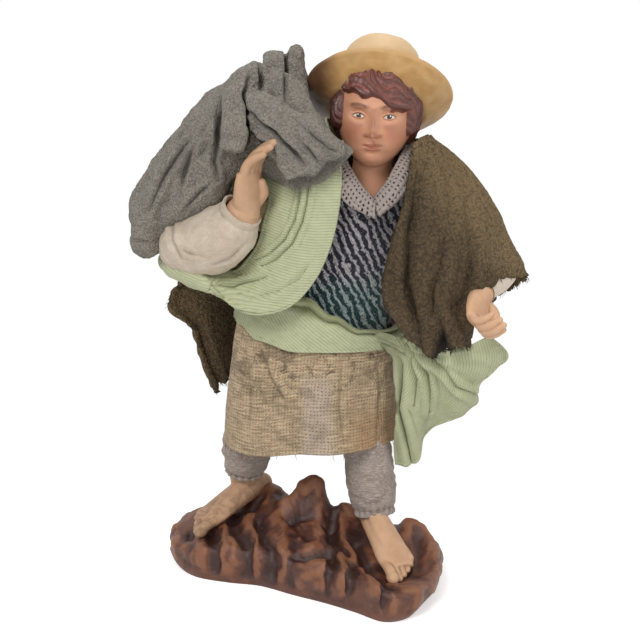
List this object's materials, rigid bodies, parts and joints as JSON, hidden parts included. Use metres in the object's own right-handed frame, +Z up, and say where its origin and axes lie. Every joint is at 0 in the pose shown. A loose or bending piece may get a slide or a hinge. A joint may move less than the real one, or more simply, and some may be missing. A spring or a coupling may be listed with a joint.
{
  "type": "santon",
  "caption": "Dressed santon figurine with clay head, hands and bare feet, draped cloth garments, a brimmed hat and a folded blanket on the shoulder, standing on a rock base.",
  "frame": {"origin": "centre of the rock base's flat underside, below the figure's middle", "axes": "+Z up through the figure, the figure faces -Y, +X is to the figure's own left"},
  "size_m": [0.1333, 0.0791, 0.1863],
  "materials": {
    "rock": "painted and washed dark, with dull relief",
    "clay_skin": "matt flesh paint on fired clay",
    "clay_head": "matt flesh paint on fired clay, with warm cheeks",
    "clay_hair": "satin reddish brown paint on modelled curls",
    "clay_hat": "matt straw-coloured paint, paler on the crown",
    "wire": "annealed iron wire",
    "tow": "wound flax tow",
    "knit": "dark tweed with pale slanting flecks",
    "collar_knit": "pale speckled knit",
    "green_cloth": "fine pale green cotton, stiffened",
    "brown_wool": "coarse brown wool, stiffened",
    "grey_wool": "grey brushed wool",
    "burlap": "open burlap weave with darker threads",
    "cream_linen": "thin cream linen",
    "grey_linen": "worn grey linen"
  },
  "bodies": {
    "root": {"rock_base": "rock", "leg_wire": "wire", "spine_wire": "wire", "arm_wire": "wire", "torso_tow": "tow", "right_arm_tow": "tow", "left_arm_tow": "tow", "right_thigh_tow": "tow", "left_thigh_tow": "tow", "right_leg_clay": "clay_skin", "left_leg_clay": "clay_skin", "right_hand_clay": "clay_skin", "left_hand_clay": "clay_skin", "head_clay": "clay_head", "hair_clay": "clay_hair", "hat_clay": "clay_hat", "right_trouser_leg": "grey_linen", "left_trouser_leg": "grey_linen", "right_shirt_sleeve": "cream_linen", "left_shirt_sleeve": "cream_linen", "knit_vest": "knit", "knit_collar": "collar_knit", "burlap_skirt": "burlap", "green_sash": "green_cloth", "green_mantle": "green_cloth", "green_tail": "green_cloth", "grey_blanket": "grey_wool", "brown_shawl": "brown_wool"}
  },
  "joints": []
}
